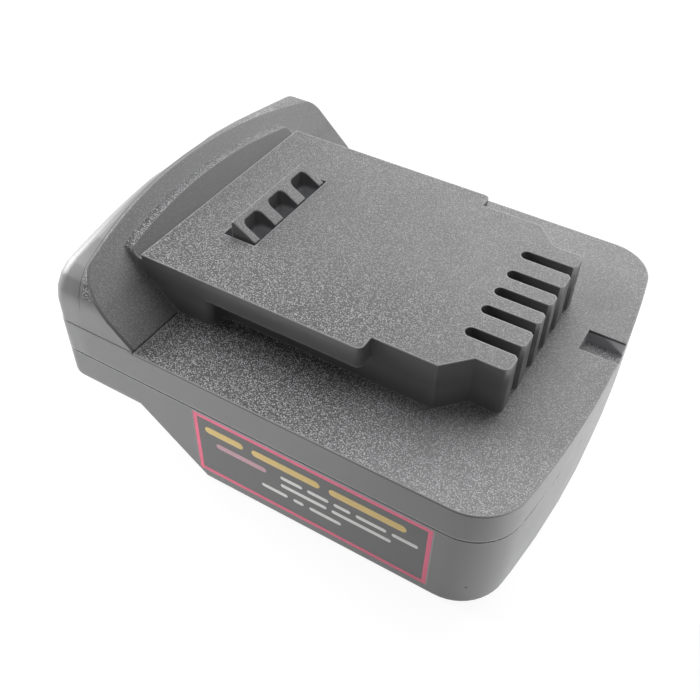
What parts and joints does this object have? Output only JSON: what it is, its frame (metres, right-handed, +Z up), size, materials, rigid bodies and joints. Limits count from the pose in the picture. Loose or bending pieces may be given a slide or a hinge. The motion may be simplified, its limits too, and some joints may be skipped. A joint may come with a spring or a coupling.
{
  "type": "tool battery adapter",
  "caption": "Slide-on adapter that lets one kind of battery pack power a cordless tool with another rail: tool rail and sprung latch on top, pack receiver below.",
  "frame": {"origin": "middle of the base, in the plane the adapter rests on", "axes": "+X towards the contact end, +Z up from the base, +Y to the left seen from the button end"},
  "size_m": [0.094, 0.077, 0.0413],
  "materials": {
    "shell": "fine spark-eroded grain on top, satin smooth on the sides",
    "latch": "smooth moulded plastic",
    "button": "smooth moulded plastic with grip ribs",
    "spring_steel": "drawn wire",
    "board": "solder mask on glass laminate",
    "contact": "tinned copper alloy strip",
    "chip": "moulded chip body",
    "block": "moulded thermoset",
    "red_lead": "insulated wire",
    "black_lead": "insulated wire",
    "yellow_lead": "insulated wire",
    "screw": "zinc plated",
    "label": "printed film with a pink border"
  },
  "bodies": {
    "housing": {"upper_shell": "shell", "lower_shell": "shell", "latch_spring_left": "spring_steel", "latch_spring_right": "spring_steel", "contact_board": "board", "tool_contact_1": "contact", "tool_contact_2": "contact", "tool_contact_3": "contact", "tool_contact_4": "contact", "tool_contact_5": "contact", "id_resistors": "chip", "terminal_block": "block", "pack_blade_positive": "contact", "pack_blade_negative": "contact", "pack_blade_signal": "contact", "positive_lead": "red_lead", "negative_lead": "black_lead", "signal_lead": "yellow_lead", "case_screws": "screw", "board_screws": "screw", "block_screws": "screw", "rating_label": "label"},
    "latch": {"latch": "latch", "release_button": "button"}
  },
  "joints": [
    {"name": "latch_press", "type": "slide", "parent": "housing", "child": "latch", "axis": [0, 0, -1], "range_m": [0, 0.0036], "stiffness_N_per_m": 1500, "springref_m": -0.003, "deforming": ["latch_spring_left", "latch_spring_right"]}
  ]
}
